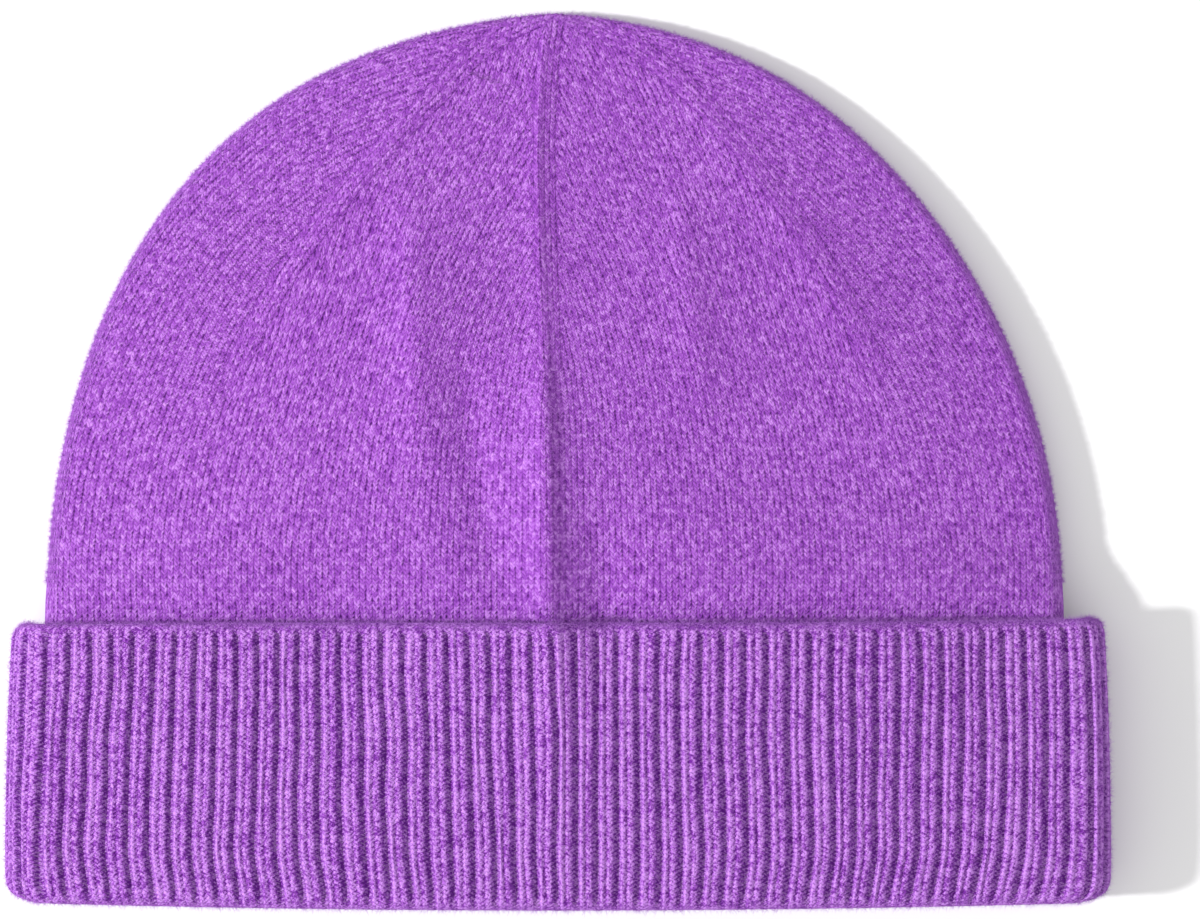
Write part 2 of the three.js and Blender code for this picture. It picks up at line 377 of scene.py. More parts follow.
def write_crown_stitches(crown, turn, y):
    """UV maps in stitches, x in wales and y in courses: one for the gores, in which the wales run
    beside each gore's own line, and one for the narrow strips where the gores meet."""
    points = mesh_points(crown)
    corner = corner_vertices(crown.data)
    face_turn = turn[corner].reshape(-1, 4).mean(axis=1) % 1.0
    face_y = y[corner].reshape(-1, 4).mean(axis=1)
    angle = np.arcsin(np.clip((y - CURVE_Y) / CURVE_RISE, 0.0, 1.0))
    blend = smooth((angle - LEAN_FROM) / (LEAN_FULL - LEAN_FROM))
    plain_course = (y - RIM_Y) / COURSE
    gore_uv = np.zeros((len(corner), 2))
    strip_uv = np.full((len(corner), 2), OUTSIDE_STRIPS)
    # The gores between the middle and the diagonals follow their own middles; the side gores
    # follow the side folds.
    for layer in (0.0, 0.5):
        for guide in (SIDE_GUIDE, MIDDLE_GUIDE, -MIDDLE_GUIDE, -SIDE_GUIDE):
            side_gore = abs(guide) == SIDE_GUIDE
            guide_turn = (layer + (guide if layer == 0.0 else -guide)) % 1.0
            away = turn_from(layer, face_turn)
            away = away if layer == 0.0 else -away
            edges = (guide * 2 / 3, guide) if side_gore else (0.0, 2 * guide)
            faces = np.nonzero((away >= min(edges)) & (away <= max(edges)))[0]
            corners = face_corners(faces)
            picked = corner[corners]
            distance, along = along_line(guide_turn, points[picked])
            if side_gore:
                distance = round_fold(distance)
            offset = turn_from(guide_turn, turn[picked])
            gore_wale = np.sign(offset) * distance / GORE_WALE
            gore_uv[corners, 0] = mix(offset * WALES, gore_wale, blend[picked])
            gore_uv[corners, 1] = mix(plain_course[picked], along / COURSE, blend[picked])
    drawn_in = face_y > CURVE_Y + CURVE_RISE * math.sin(DECREASE_FROM)
    for line in range(GORES):
        line_turn = line / GORES
        away = np.abs(turn_from(line_turn, face_turn))
        corners = face_corners(np.nonzero((away < 0.5 / GORES) & drawn_in)[0])
        picked = corner[corners]
        distance, along = along_line(line_turn, points[picked])
        offset = turn_from(line_turn, turn[picked])
        strip_uv[corners, 0] = np.sign(offset) * distance / GORE_WALE
        strip_uv[corners, 1] = along / COURSE
    write_map(crown.data, "gores", gore_uv)
    write_map(crown.data, "strips", strip_uv)


# Cuff: one band of two by two rib, folded up at the bottom, so its section is a long U.
INSIDE_ROWS = 16
FOLD_ROWS = 10
OUTSIDE_ROWS = 36
EDGE_ROWS = 6
HIDDEN_ROWS = 8

# Hem and fold: their lengths, the share of the ribs' depth left there, and how the fold is narrower.
HEM = 1.5
HEM_BLEND = 1.2
HEM_RIBS = 0.12
FOLD_RIBS = 0.3
FOLD_RIBS_FROM = 0.3
FOLD_RIBS_LENGTH = 3.5
FOLD_PINCH = 0.03
FOLD_PINCH_LENGTH = 14.0
FOLD_SAG = 0.15

# How far single ribs stray at knots up the cuff. The span of the knots ends just under the last.
RIB_SEED = 11
RIB_STRAY = 0.16
RIB_KNOTS = 6
KNOT_SPAN = 4.999

# How far the lower layer lies below the upper one at the hem, and the heights over which it does.
UNDER_SLIP = 1.1
UNDER_SLIP_FROM = 2.0
UNDER_SLIP_LENGTH = 9.0


def cuff_section():
    """Stations round the U: height y, half thickness, half width, outward tilt and rib share."""
    radius = (TURN_OUTER - BAND_INNER) / 2
    above_fold = FOLD_Y + radius
    edge_radius = RIB_WALL / 2
    below_edge = EDGE_Y - edge_radius
    fold_half = CUFF_HALF - RIB_WALL - LAYER_GAP

    def turned(y):
        return mix(CUFF_HALF, CUFF_TOP_HALF, np.clip((y - FOLD_Y) / CUFF_HEIGHT, 0.0, 1.0))

    def band(y):
        reach = smooth((y - FOLD_Y) / CUFF_HEIGHT) / smooth((BAND_TOP_Y - FOLD_Y) / CUFF_HEIGHT)
        return mix(fold_half, CROWN_HALF, reach)

    def stretch(y, thick, half, tilt, ribs):
        parts = np.broadcast_arrays(y, thick, half, tilt, ribs)
        return np.stack([np.asarray(part, dtype=float) for part in parts], axis=1)

    inside_y = np.linspace(BAND_TOP_Y, above_fold, INSIDE_ROWS, endpoint=False)
    bend = np.linspace(0.0, math.pi, FOLD_ROWS, endpoint=False)
    bend_y = above_fold - radius * np.sin(bend)
    bend_thick = BAND_INNER + radius * (1.0 - np.cos(bend))
    bend_half = mix(fold_half - RIB_WALL, CUFF_HALF, (1.0 - np.cos(bend)) / 2)
    outside_y = np.linspace(above_fold, below_edge, OUTSIDE_ROWS, endpoint=False)
    lip = np.linspace(0.0, math.pi, EDGE_ROWS, endpoint=False)
    lip_y = below_edge + edge_radius * np.sin(lip)
    lip_thick = TURN_INNER + edge_radius * (1.0 + np.cos(lip))
    back_y = np.linspace(below_edge, FOLD_Y + RIB_WALL + 1.0, HIDDEN_ROWS // 2, endpoint=False)
    front_y = np.linspace(FOLD_Y + RIB_WALL, BAND_TOP_Y, HIDDEN_ROWS // 2)
    return np.concatenate([
        stretch(inside_y, BAND_INNER, band(inside_y) - RIB_WALL, math.pi, 0.6),
        stretch(bend_y, bend_thick, bend_half, bend - math.pi, 1.0),
        stretch(outside_y, TURN_OUTER, turned(outside_y), 0.0, 1.0),
        stretch(lip_y, lip_thick, turned(EDGE_Y) - (1.0 - np.cos(lip)) * edge_radius, lip, 0.0),
        stretch(back_y, TURN_INNER, turned(back_y) - RIB_WALL, math.pi, 0.0),
        stretch(front_y, BAND_OUTER, band(front_y), 0.0, 0.0),
    ])


def rib_sway(x, y, turn):
    """How far the ribs stray sideways from straight lines, in millimetres."""
    rng = np.random.default_rng(RIB_SEED)
    knots = rng.normal(0.0, RIB_STRAY, (RIB_KNOTS, RIBS))
    # Neighbours stray partly together.
    knots = (knots + np.roll(knots, 1, axis=1) + np.roll(knots, -1, axis=1)) / 1.7
    rib = np.floor(turn * RIBS + 0.2).astype(int) % RIBS
    up = np.clip((y - FOLD_Y) / CUFF_HEIGHT, 0.0, 1.0) * KNOT_SPAN
    low = up.astype(int)
    stray = mix(knots[low, rib], knots[low + 1, rib], smooth(up - low))
    bow = 0.5 * np.sin(x / 31.0 + y / 23.0) + 0.35 * np.sin(x / 13.0 - y / 37.0 + 1.0)
    return stray + bow


def cuff_surface(section, position):
    """Points on the band, for each station of its section and each position across its ribs."""
    y, thick, half, tilt, ribs = (section[:, k, None] for k in range(5))
    turn = position[None, :] / RIBS
    depth = np.interp(position % 1.0, RIB_PHASES, RIB_HEIGHTS)[None, :] * RIB_DEPTH
    flat_half = CUFF_HALF - TURN_OUTER
    perimeter = 4 * flat_half + 2 * math.pi * TURN_OUTER
    side = math.pi * TURN_OUTER / perimeter
    across, _ = flattened(turn, side, half, thick)
    hand = np.where((turn % 1.0 > 0.25) & (turn % 1.0 < 0.75), 1.0, -1.0)
    swayed = turn + hand * rib_sway(across, y, turn) / perimeter
    corner = np.clip(FOLD_CORNER - (y - FOLD_Y), 0.0, FOLD_CORNER)
    edge = np.clip(EDGE_CORNER - (EDGE_Y - y), 0.0, EDGE_CORNER)
    rounding = FOLD_CORNER - np.sqrt(FOLD_CORNER**2 - corner**2)
    rounding = rounding + EDGE_CORNER - np.sqrt(EDGE_CORNER**2 - edge**2)
    pinch = FOLD_PINCH * (1.0 - smooth((y - FOLD_Y) / FOLD_PINCH_LENGTH))
    below_hem = smooth((EDGE_Y - HEM - y) / HEM_BLEND)
    above_fold = smooth((y - FOLD_Y - FOLD_RIBS_FROM) / FOLD_RIBS_LENGTH)
    sunk = depth * ribs * mix(HEM_RIBS, 1.0, below_hem) * mix(FOLD_RIBS, 1.0, above_fold)
    thick = thick + sunk * np.cos(tilt)
    half = half + sunk * np.cos(tilt)
    y = y - FOLD_SAG * sunk * np.sin(tilt)
    points = tube_points(swayed, side, half, thick, y, 0.0)
    out = np.abs(points[..., 0]) / CUFF_HALF
    points[..., 0] *= 1.0 - rounding / CUFF_HALF * out**8 - pinch * (1.0 - out**4)
    raised = 1.0 - (points[..., 1] - FOLD_Y) / CUFF_HEIGHT
    sideways = points[..., 0] / CUFF_HALF
    points[..., 0] += CUFF_BULGE * 4.0 * raised * (1.0 - raised) * sideways**3
    at_fold = raised * (FOLD_LIFT + FOLD_BOW * sideways**2)
    points[..., 1] += at_fold + (1.0 - raised) * EDGE_TILT * sideways**3
    under = 1.0 - smooth((points[..., 2] - UNDER_SLIP_FROM) / UNDER_SLIP_LENGTH)
    near_hem = smooth((points[..., 1] - EDGE_Y + UNDER_SLIP_LENGTH) / UNDER_SLIP_LENGTH)
    points[..., 1] -= UNDER_SLIP * under * near_hem
    return points


def make_cuff():
    """The band, and the courses at which it is folded and at which its hem begins."""
    section = cuff_section()
    section = np.concatenate([section, section[:1]])
    position = np.append(np.add.outer(np.arange(RIBS), RIB_PHASES).ravel(), float(RIBS))
    cuff = knitted_sheet("cuff_rib", len(position) - 1, len(section) - 1)
    set_shape(cuff, cuff_surface(section, position).reshape(-1, 3))
    steps = np.hypot(np.diff(section[:, 0]), np.diff(section[:, 1]))
    course = np.append(0.0, np.cumsum(steps)) / RIB_COURSE
    corner = corner_vertices(cuff.data)
    across = np.tile(position, len(section))[corner]
    along = np.repeat(course, len(position))[corner]
    write_map(cuff.data, "ribs", np.stack([across, along], axis=-1))
    close_seams(cuff)
    return cuff, course[INSIDE_ROWS + FOLD_ROWS // 2], course[INSIDE_ROWS + FOLD_ROWS + OUTSIDE_ROWS]


# Fuzz: loose fibres that stand off the knitting. One is modelled and copied over a piece.
FIBRES = 46000
CROWN_SEED = 21
CROWN_REACH = 1.7
CUFF_SEED = 22
CUFF_REACH = 2.0

# How many times more thickly they stand by the outline and on the hem, and how wide those bands are.
OUTLINE_FIBRES = 30.0
OUTLINE_BAND = 2.5
FOLD_BAND = 3.0
HEM_FIBRES = 90.0
HEM_BAND = 1.2

# Least and most of a fibre: its length as a share of the reach, its width and, in degrees, its lift.
FIBRE_LENGTHS = (0.3, 1.0)
FIBRE_WIDTHS = (0.04, 0.08)
FIBRE_LIFTS = (8.0, 65.0)

# How deep its root lies and how far that strays, its room off the floor, and how far down a face may
# look that bears fibres.
FIBRE_ROOT = 0.12
FIBRE_STRAY = 0.35
FLOOR_ROOM = 0.05
FACING_LEAST = -0.4


def make_fibre():
    """One closed fibre, three-sided, a unit long and a unit thick, drawn out to a point."""
    bpy.ops.mesh.primitive_cone_add(vertices=3, radius1=0.5, depth=1.0, location=(0.0, 0.0, 0.5))
    bpy.ops.object.transform_apply(location=True)
    fibre = bpy.context.object
    shape = np.array([v.co[:] for v in fibre.data.vertices])
    faces = np.array([p.vertices[:] for p in fibre.data.polygons])
    bpy.data.objects.remove(fibre)
    return shape, faces


def crown_fuzziness(x, y):
    """How thickly fibres stand on the crown, many by its outline and few elsewhere."""
    half_width, _, shift = crown_profile(y)
    return np.where(np.abs(x - shift) > half_width - OUTLINE_BAND, OUTLINE_FIBRES, 1.0)


def cuff_fuzziness(x, y):
    """How thickly fibres stand on the cuff, most of all on its hem."""
    outline = (np.abs(x) > CUFF_TOP_HALF - OUTLINE_BAND) | (y < FOLD_Y + FOLD_BAND)
    return np.where(y > EDGE_Y - HEM_BAND, HEM_FIBRES, np.where(outline, OUTLINE_FIBRES, 1.0))


def make_fuzz(name, piece, faces, fibre, seed, reach, fuzziness):
    """Fibres on the given faces of a piece, each in its own direction, in one mesh."""
    rng = np.random.default_rng(seed)
    mesh = piece.data
    centre = np.empty((len(mesh.polygons), 3), dtype=np.float32)
    normal = np.empty_like(centre)
    area = np.empty(len(mesh.polygons), dtype=np.float32)
    mesh.polygons.foreach_get("center", centre.ravel())
    mesh.polygons.foreach_get("normal", normal.ravel())
    mesh.polygons.foreach_get("area", area)
    facing = normal[faces, 2].astype(np.float64)
    thickly = fuzziness(centre[faces, 0] / MM, centre[faces, 1] / MM)
    weight = area[faces] * thickly * (facing > FACING_LEAST)
    picked = rng.choice(faces, FIBRES, p=weight / weight.sum())
    up = normal[picked].astype(np.float64)
    heading = rng.normal(size=(FIBRES, 3))
    heading -= up * np.sum(heading * up, axis=1, keepdims=True)
    heading /= np.linalg.norm(heading, axis=1, keepdims=True)
    side = np.cross(up, heading)
    lift = np.radians(rng.uniform(*FIBRE_LIFTS, (FIBRES, 1)))
    way = heading * np.cos(lift) + up * np.sin(lift)
    long = reach * rng.uniform(*FIBRE_LENGTHS, (FIBRES, 1)) ** 1.5
    thick = rng.uniform(*FIBRE_WIDTHS, (FIBRES, 1))
    root = centre[picked] / MM - up * FIBRE_ROOT + rng.normal(0.0, FIBRE_STRAY, (FIBRES, 1)) * side
    cross = np.cross(way, side)
    shape, shape_faces = fibre
    x, y, z = (shape[None, :, k, None] for k in range(3))
    points = root[:, None] + (thick[:, None] * (x * side[:, None] + y * cross[:, None]))
    points = points + long[:, None] * z * way[:, None]
    points[..., 2] = np.maximum(points[..., 2], FLOOR_ROOM)
    start = np.arange(FIBRES)[:, None, None] * len(shape)
    fuzz_mesh = bpy.data.meshes.new(name)
    all_faces = (shape_faces[None] + start).reshape(-1, 3)
    fuzz_mesh.from_pydata((points.reshape(-1, 3) * MM).tolist(), [], all_faces.tolist())
    fuzz = bpy.data.objects.new(name, fuzz_mesh)
    bpy.context.collection.objects.link(fuzz)
    return fuzz


# Materials.
def linear(red, green, blue):
    """Display colour, 0 to 255, to the linear values that the shader takes."""
    def one(c):
        c /= 255.0
        return c / 12.92 if c <= 0.04045 else ((c + 0.055) / 1.055) ** 2.4

    return (one(red), one(green), one(blue), 1.0)


# The darkest of these stands for darker fibres and for painted shade deep in the gaps and grooves; the
# lightest for paler fibres and for painted highlight on lit crests and wales, and it also tints the
# sheen.
YARN_DARK_AND_SHADE = linear(94, 24, 130)
YARN_MAIN = linear(141, 72, 174)
YARN_PALE_AND_HIGHLIGHT = linear(184, 126, 212)


def socket(tree, value, target):
    """Links a socket, or sets a plain value."""
    if isinstance(value, bpy.types.NodeSocket):
        tree.links.new(value, target)
    else:
        target.default_value = value


def calc(tree, operation, *values, clamp=False):
    node = tree.nodes.new("ShaderNodeMath")
    node.operation = operation
    node.use_clamp = clamp
    for value, target in zip(values, node.inputs):
        socket(tree, value, target)
    return node.outputs[0]


def weighted(tree, *pairs):
    """The sum of values, each times its weight."""
    total = 0.0
    for value, weight in pairs:
        total = calc(tree, "ADD", calc(tree, "MULTIPLY", value, weight), total)
    return total


def inverted(tree, value, clamp=False):
    return calc(tree, "SUBTRACT", 1.0, value, clamp=clamp)


def centred(tree, value):
    """From -1 to 1 over each whole step of a value."""
    return calc(tree, "SUBTRACT", calc(tree, "MULTIPLY", calc(tree, "FRACT", value), 2.0), 1.0)


def hump(tree, value):
    """A round hump over each whole step of a value, 0 at its ends and 1 at its middle."""
    away = centred(tree, value)
    return inverted(tree, calc(tree, "MULTIPLY", away, away))


def white_noise(tree, dimensions, label, value):
    node = tree.nodes.new("ShaderNodeTexWhiteNoise")
    node.noise_dimensions = dimensions
    socket(tree, value, node.inputs[label])
    return node.outputs["Value"]


def noise(tree, vector, scale, detail=2.0, roughness=0.5):
    node = tree.nodes.new("ShaderNodeTexNoise")
    node.inputs["Scale"].default_value = scale
    node.inputs["Detail"].default_value = detail
    node.inputs["Roughness"].default_value = roughness
    socket(tree, vector, node.inputs["Vector"])
    return node.outputs["Fac"]


def split(tree, vector):
    node = tree.nodes.new("ShaderNodeSeparateXYZ")
    socket(tree, vector, node.inputs[0])
    return node.outputs[0], node.outputs[1]


def combine(tree, x, y, z=0.0):
    node = tree.nodes.new("ShaderNodeCombineXYZ")
    for value, target in zip((x, y, z), node.inputs):
        socket(tree, value, target)
    return node.outputs[0]


def blend_colour(tree, factor, a, b, kind="MIX"):
    node = tree.nodes.new("ShaderNodeMix")
    node.data_type = "RGBA"
    node.blend_type = kind
    socket(tree, factor, node.inputs["Factor"])
    socket(tree, a, node.inputs["A"])
    socket(tree, b, node.inputs["B"])
    return node.outputs["Result"]


def new_group(name, inputs, outputs):
    tree = bpy.data.node_groups.new(name, "ShaderNodeTree")
    for label, kind in inputs:
        tree.interface.new_socket(label, in_out="INPUT", socket_type=kind)
    for label, kind in outputs:
        tree.interface.new_socket(label, in_out="OUTPUT", socket_type=kind)
    return tree, tree.nodes.new("NodeGroupInput"), tree.nodes.new("NodeGroupOutput")


def use_group(tree, group, **values):
    node = tree.nodes.new("ShaderNodeGroup")
    node.node_tree = group
    for label, value in values.items():
        socket(tree, value, node.inputs[label])
    return node.outputs


def make_stitch_group():
    """Plain knit. Stitches: x in wales, y in courses. Height is 0 in the gaps and 1 on the yarn's
    crest, Gap is 1 in the holes between the wales, Stray differs from stitch to stitch, and Streak
    runs unevenly along the wales."""
    tree, enter, leave = new_group(
        "plain_knit",
        [("Stitches", "NodeSocketVector")],
        [(label, "NodeSocketFloat") for label in ("Height", "Gap", "Stray", "Streak")],
    )
    stitches = enter.outputs["Stitches"]
    wander = calc(tree, "SUBTRACT", noise(tree, stitches, 0.45, 2.0, 0.6), 0.5)
    x, y = split(tree, stitches)
    x = calc(tree, "ADD", x, calc(tree, "MULTIPLY", wander, 0.6))
    y = calc(tree, "ADD", y, calc(tree, "MULTIPLY", wander, 1.1))
    from_middle = calc(tree, "SUBTRACT", calc(tree, "FRACT", x), 0.5)
    side = calc(tree, "MULTIPLY", calc(tree, "ABSOLUTE", from_middle), 2.0)
    climb = calc(tree, "SUBTRACT", y, calc(tree, "MULTIPLY", side, 0.6))
    border = calc(tree, "POWER", side, 5.0)
    middle = calc(tree, "POWER", inverted(tree, side), 5.0)
    dip = calc(tree, "ADD", calc(tree, "MULTIPLY", border, 0.6), calc(tree, "MULTIPLY", middle, 0.35))
    yarn = calc(tree, "ADD", calc(tree, "MULTIPLY", hump(tree, climb), 0.75), 0.25)
    tree.links.new(calc(tree, "MULTIPLY", yarn, inverted(tree, dip)), leave.inputs["Height"])
    leg = calc(tree, "FLOOR", calc(tree, "MULTIPLY", x, 2.0))
    cell = combine(tree, leg, calc(tree, "FLOOR", climb))
    tree.links.new(white_noise(tree, "2D", "Vector", cell), leave.inputs["Stray"])
    border_cell = combine(tree, calc(tree, "FLOOR", calc(tree, "ADD", x, 0.5)), calc(tree, "FLOOR", y))
    width = white_noise(tree, "2D", "Vector", border_cell)
    from_hole = calc(tree, "ABSOLUTE", centred(tree, y))
    long_hole = calc(tree, "POWER", inverted(tree, from_hole), 0.7)
    open_here = calc(tree, "MULTIPLY", calc(tree, "POWER", side, 2.2), long_hole)
    wide = calc(tree, "MAXIMUM", weighted(tree, (width, 1.7), (1.0, -0.25)), 0.0)
    tree.links.new(calc(tree, "MULTIPLY", open_here, wide), leave.inputs["Gap"])
    along = combine(tree, calc(tree, "MULTIPLY", x, 1.3), calc(tree, "MULTIPLY", y, 0.5))
    tree.links.new(noise(tree, along, 1.0, 2.0, 0.6), leave.inputs["Streak"])
    return tree


def make_yarn_group():
    """Loose fibres of the yarn: a fine broken relief and tone, from Object coordinates."""
    tree, enter, leave = new_group(
        "yarn_fibres",
        [("Vector", "NodeSocketVector")],
        [("Relief", "NodeSocketFloat"), ("Tone", "NodeSocketFloat")],
    )
    vector = enter.outputs["Vector"]
    fine = noise(tree, vector, 3200.0, 2.0, 0.6)
    coarse = noise(tree, vector, 1500.0, 2.0, 0.6)
    broad = noise(tree, vector, 45.0, 2.0, 0.5)
    relief = calc(tree, "ADD", calc(tree, "MULTIPLY", fine, 0.5), calc(tree, "MULTIPLY", coarse, 0.5))
    tone = weighted(tree, (coarse, 0.6), (fine, 0.35), (broad, 0.12))
    tree.links.new(relief, leave.inputs["Relief"])
    tree.links.new(tone, leave.inputs["Tone"])
    return tree


def make_purl_group():
    """The grooves of the rib. Stitches: x from 0 to 1 across a groove, y in courses. Small bars of
    yarn lie across it, set half a course apart in its two wales."""
    tree, enter, leave = new_group(
        "purl_groove",
        [("Stitches", "NodeSocketVector")],
        [("Height", "NodeSocketFloat")],
    )
    x, y = split(tree, enter.outputs["Stitches"])
    half = calc(tree, "GREATER_THAN", x, 0.5)
    shifted = calc(tree, "ADD", y, calc(tree, "MULTIPLY", half, 0.5))
    bar = calc(tree, "POWER", hump(tree, shifted), 2.5)
    across = centred(tree, calc(tree, "MULTIPLY", x, 2.0))
    body = inverted(tree, calc(tree, "MULTIPLY", calc(tree, "MULTIPLY", across, across), 0.7))
    tree.links.new(calc(tree, "MULTIPLY", bar, body), leave.inputs["Height"])
    return tree


def new_material(name, roughness):
    material = bpy.data.materials.new(name)
    material.use_nodes = True
    tree = material.node_tree
    shader = tree.nodes["Principled BSDF"]
    shader.inputs["Roughness"].default_value = roughness
    shader.inputs["Specular IOR Level"].default_value = 0.15
    shader.inputs["Sheen Weight"].default_value = 0.7
    shader.inputs["Sheen Roughness"].default_value = 0.45
    shader.inputs["Sheen Tint"].default_value = YARN_PALE_AND_HIGHLIGHT
    return material, tree, shader


# How deep the stitches lie, in millimetres, and how much each piece's tone varies.
RELIEF_DEPTH = 0.5
UNEVEN_MIDDLE = 1.6
CROWN_ROUGH = 0.84
CUFF_ROUGH = 1.1


def finish_yarn(tree, shader, height, stitch, fibres, level, rough):
    """Colour and relief of knitted yarn. level is its tone before the stitches and fibres vary it,
    by rough, with painted shade and highlight in it: 0 is darker fibres and painted shade deep in a
    gap,
    0.5 the yarn itself and 1 its lightest fibres and painted highlight."""
    uneven = weighted(tree, (stitch["Streak"], 1.3), (stitch["Stray"], 0.5), (fibres["Tone"], 1.3))
    tone = weighted(tree, (calc(tree, "SUBTRACT", uneven, UNEVEN_MIDDLE), rough), (level, 1.0))
    colour = blend_colour(tree, calc(tree, "MULTIPLY", tone, 2.0, clamp=True), YARN_DARK_AND_SHADE, YARN_MAIN)
    light = calc(tree, "SUBTRACT", calc(tree, "MULTIPLY", tone, 2.0), 1.0, clamp=True)
    tree.links.new(blend_colour(tree, light, colour, YARN_PALE_AND_HIGHLIGHT), shader.inputs["Base Color"])
    bump = tree.nodes.new("ShaderNodeBump")
    bump.inputs["Strength"].default_value = 1.0
    bump.inputs["Distance"].default_value = RELIEF_DEPTH * MM
    relief = weighted(tree, (height, 0.7), (fibres["Relief"], 0.7), (stitch["Streak"], 0.4))
    tree.links.new(relief, bump.inputs["Height"])
    tree.links.new(bump.outputs[0], shader.inputs["Normal"])


def stitch_map(tree, name):
    node = tree.nodes.new("ShaderNodeUVMap")
    node.uv_map = name
    return node.outputs[0]


def crown_material(knit, yarn):
    """Plain knit, with the stitches of the strips in place of the gores' where they meet."""
    material, tree, shader = new_material("crown_plain_knit", 0.9)
    gores, strips = stitch_map(tree, "gores"), stitch_map(tree, "strips")
    strip_x, _ = split(tree, strips)
    in_strip = calc(tree, "LESS_THAN", calc(tree, "ABSOLUTE", strip_x), STRIP_WALES)
    chosen = tree.nodes.new("ShaderNodeMix")
    chosen.data_type = "VECTOR"
    tree.links.new(in_strip, chosen.inputs["Factor"])
    tree.links.new(gores, chosen.inputs[4])
    tree.links.new(strips, chosen.inputs[5])
    stitch = use_group(tree, knit, Stitches=chosen.outputs[1])
    place = tree.nodes.new("ShaderNodeTexCoord").outputs["Object"]
    fibres = use_group(tree, yarn, Vector=place)
    past_seam = calc(tree, "SUBTRACT", calc(tree, "ABSOLUTE", strip_x), STRIP_WALES)
    from_seam = calc(tree, "DIVIDE", calc(tree, "ABSOLUTE", past_seam), 0.9)
    seam = inverted(tree, from_seam, clamp=True)
    height = weighted(tree, (stitch["Height"], 0.6), (stitch["Gap"], -0.8), (seam, -0.35))
    # Painted shade: the tone is darker in the stitches' dips, in the holes between the wales and along
    # the seams of the decreases, and lighter on the stitches' crests.
    level = weighted(tree, (stitch["Height"], 0.2), (stitch["Gap"], -0.38), (seam, -0.12), (1.0, 0.43))
    finish_yarn(tree, shader, height, stitch, fibres, level, CROWN_ROUGH)
    return material


# Painted light and shade of the rib across one of its repeats: painted shade in the groove, a dull
# wale, painted shade in the line between the wales, and a wale with painted highlight.
RIB_PAINTED_SHADING = (
    (0.0, 0.48), (0.04, 0.44), (0.18, 0.38), (0.26, 0.08), (0.31, 0.25), (0.36, 0.4), (0.48, 0.46),
    (0.64, 0.38), (0.7, 0.06), (0.75, 0.48), (0.83, 0.7), (0.92, 0.66), (1.0, 0.48),
)


def cuff_material(knit, yarn, purl, fold_course, hem_course):
    """Rib. Its fold and its hem, at the two courses given, are plain."""
    material, tree, shader = new_material("cuff_two_by_two_rib", 0.9)
    x, y = split(tree, stitch_map(tree, "ribs"))
    hem = calc(tree, "ADD", weighted(tree, (y, 1.4), (1.0, -1.4 * hem_course)), 1.0, clamp=True)
    from_fold = calc(tree, "ABSOLUTE", calc(tree, "SUBTRACT", y, fold_course))
    folded = calc(tree, "SUBTRACT", 1.15, calc(tree, "MULTIPLY", from_fold, 0.3), clamp=True)
    plain = calc(tree, "MAXIMUM", hem, calc(tree, "MULTIPLY", folded, 0.6))
    ribbed = inverted(tree, plain)
    zigzag = calc(tree, "ABSOLUTE", calc(tree, "SUBTRACT", calc(tree, "FRACT", y), 0.5))
    phase = calc(tree, "FRACT", weighted(tree, (zigzag, 0.2), (x, 1.0), (1.0, -0.05)))
    in_groove = calc(tree, "MULTIPLY", calc(tree, "LESS_THAN", phase, GROOVE), ribbed)
    on_wales = inverted(tree, in_groove)
    wale = calc(tree, "DIVIDE", calc(tree, "SUBTRACT", phase, GROOVE), (1.0 - GROOVE) / 2)
    wale = weighted(tree, (wale, 1.0), (calc(tree, "FLOOR", x), 2.0))
    stitch = use_group(tree, knit, Stitches=combine(tree, wale, y))
    groove_x = calc(tree, "DIVIDE", phase, GROOVE)
    groove_y = weighted(tree, (y, 1.0), (stitch["Streak"], 1.5))
    bars = use_group(tree, purl, Stitches=combine(tree, groove_x, groove_y))
    wale_height = calc(tree, "MULTIPLY", stitch["Height"], on_wales)
    bar_height = calc(tree, "MULTIPLY", bars["Height"], in_groove)
    bar_height = calc(tree, "MULTIPLY", bar_height, weighted(tree, (stitch["Stray"], 1.0), (1.0, 0.5)))
    fibres = use_group(tree, yarn, Vector=tree.nodes.new("ShaderNodeTexCoord").outputs["Object"])
    # The ramp lays the rib's painted light and shade across each repeat.
    ramp = tree.nodes.new("ShaderNodeValToRGB")
    tree.links.new(phase, ramp.inputs[0])
    stops = ramp.color_ramp.elements
    for place, _ in RIB_PAINTED_SHADING[1:-1]:
        stops.new(place)
    for stop, (place, tone) in zip(stops, RIB_PAINTED_SHADING):
        stop.position = place
        stop.color = (tone, tone, tone, 1.0)
    each = white_noise(tree, "1D", "W", calc(tree, "FLOOR", wale))
    band = weighted(tree, (calc(tree, "MULTIPLY", ramp.outputs[0], ribbed), 1.0), (plain, 0.25))
    vary = calc(tree, "MULTIPLY", calc(tree, "SUBTRACT", each, 0.5), on_wales)
    # The tone carries painted light and shade: the ramp's shading across the rib, lighter wale crests
    # and purl bars, and darker holes and grooves. The change from wale to wale and the fibres' grain
    # are the yarn's own.
    level = weighted(
        tree, (band, 0.62), (vary, 0.2), (wale_height, 0.36), (stitch["Gap"], -0.25),
        (bar_height, 1.4), (in_groove, -0.3), (fibres["Relief"], 3.0), (1.0, -1.28),
    )
    height = weighted(tree, (wale_height, 0.9), (bar_height, 1.4))
    shader.inputs["Sheen Weight"].default_value = 0.4
    finish_yarn(tree, shader, height, stitch, fibres, level, CUFF_ROUGH)
    return material


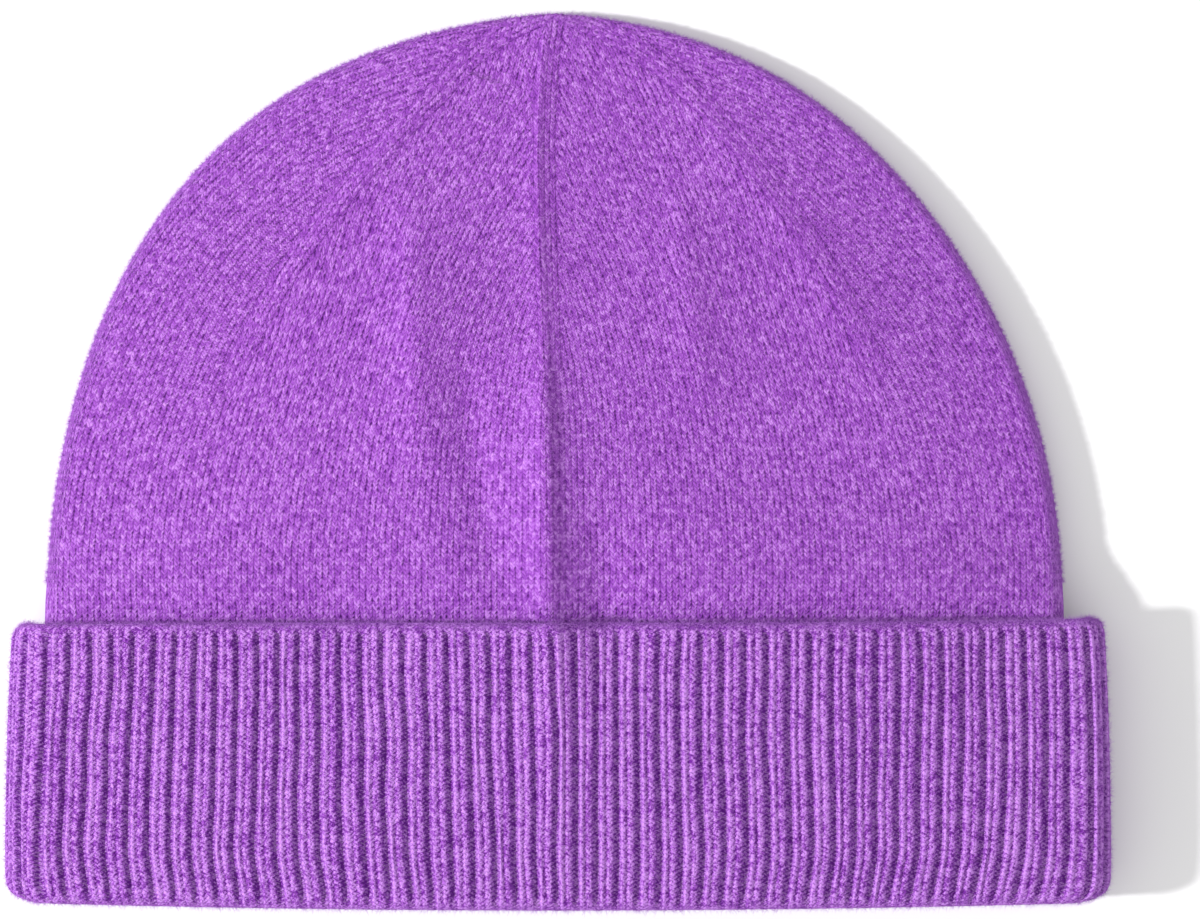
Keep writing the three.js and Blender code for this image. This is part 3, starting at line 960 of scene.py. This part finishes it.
def fibre_material():
    material, tree, shader = new_material("loose_fibres", 0.7)
    place = tree.nodes.new("ShaderNodeTexCoord").outputs["Object"]
    tone = noise(tree, place, 700.0, 1.0)
    tree.links.new(blend_colour(tree, tone, YARN_MAIN, YARN_PALE_AND_HIGHLIGHT), shader.inputs["Base Color"])
    return material


def dress(piece, material, node=None):
    """Gives a piece its material and its place in the shared frame."""
    piece.data.materials.clear()
    piece.data.materials.append(material)
    pick_only(piece)
    bpy.ops.object.shade_smooth()
    if node:
        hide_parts(node)
    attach(piece, "root")


# Camera, light and floor. The light's place and size are in metres, and MIDDLE_PIXEL is where the
# beanie's middle lies across the picture.
PICTURE_WIDTH = 254.0
PICTURE_PIXELS = 1200
MIDDLE_PIXEL = 558.5
LENS = 135.0
SENSOR = 36.0
KEY_LIGHT = (-3.24, -0.26, 2.15)
KEY_SIZE = 0.28
KEY_POWER = 192.0
SKY_STRENGTH = 0.955
FLOOR_SHADE = (0.77, 0.77, 0.77, 1.0)


def make_stage():
    bpy.ops.mesh.primitive_plane_add(size=6.0, location=(0.0, 0.0, -0.0002))
    floor = bpy.context.object
    floor.name = "floor"
    pale = bpy.data.materials.new("floor_pale")
    pale.use_nodes = True
    shader = pale.node_tree.nodes["Principled BSDF"]
    shader.inputs["Base Color"].default_value = FLOOR_SHADE
    shader.inputs["Roughness"].default_value = 0.9
    floor.data.materials.append(pale)
    world = bpy.data.worlds.new("studio")
    bpy.context.scene.world = world
    world.use_nodes = True
    back = world.node_tree.nodes["Background"]
    back.inputs["Color"].default_value = (1.0, 1.0, 1.0, 1.0)
    back.inputs["Strength"].default_value = SKY_STRENGTH
    bpy.ops.object.light_add(type="AREA", location=KEY_LIGHT)
    key = bpy.context.object
    key.name = "key_light"
    key.data.size = KEY_SIZE
    key.data.energy = KEY_POWER
    key.rotation_euler = (-Vector(KEY_LIGHT)).to_track_quat("-Z", "Y").to_euler()
    bpy.ops.object.camera_add(location=(0.0, 0.0, (LENS / SENSOR * PICTURE_WIDTH + TURN_OUTER) * MM))
    camera = bpy.context.object
    camera.data.lens = LENS
    camera.data.sensor_width = SENSOR
    camera.data.clip_end = 20.0
    camera.rotation_euler = (0.0, 0.0, 0.0)
    camera.location.x = (PICTURE_PIXELS / 2 - MIDDLE_PIXEL) * PICTURE_WIDTH / PICTURE_PIXELS * MM
    bpy.context.scene.camera = camera
    bpy.context.scene.view_settings.view_transform = "Standard"


knit_group = make_stitch_group()
yarn_group = make_yarn_group()
purl_group = make_purl_group()
make_stage()
crown = make_crown()
cuff, fold_course, hem_course = make_cuff()
fibre = make_fibre()
# Fibres stand only where they can be seen: on the crown above its hidden rows, and on the cuff from
# its fold to the middle of its hem.
crown_faces = np.arange(CROWN_COLUMNS * CROWN_HIDDEN_ROWS, CROWN_COLUMNS * CROWN_ROWS)
cuff_columns = RIBS * len(RIB_PHASES)
cuff_rows = INSIDE_ROWS + FOLD_ROWS + OUTSIDE_ROWS + EDGE_ROWS // 2
cuff_faces = np.arange(cuff_columns * INSIDE_ROWS, cuff_columns * cuff_rows)
crown_fuzz = make_fuzz(
    "crown_fuzz", crown, crown_faces, fibre, CROWN_SEED, CROWN_REACH, crown_fuzziness
)
cuff_fuzz = make_fuzz(
    "cuff_fuzz", cuff, cuff_faces, fibre, CUFF_SEED, CUFF_REACH, cuff_fuzziness
)
crown_cloth = crown_material(knit_group, yarn_group)
cuff_cloth = cuff_material(knit_group, yarn_group, purl_group, fold_course, hem_course)
loose = fibre_material()
dress(crown, crown_cloth, "crown")
dress(cuff, cuff_cloth, "cuff")
dress(crown_fuzz, loose)
dress(cuff_fuzz, loose)
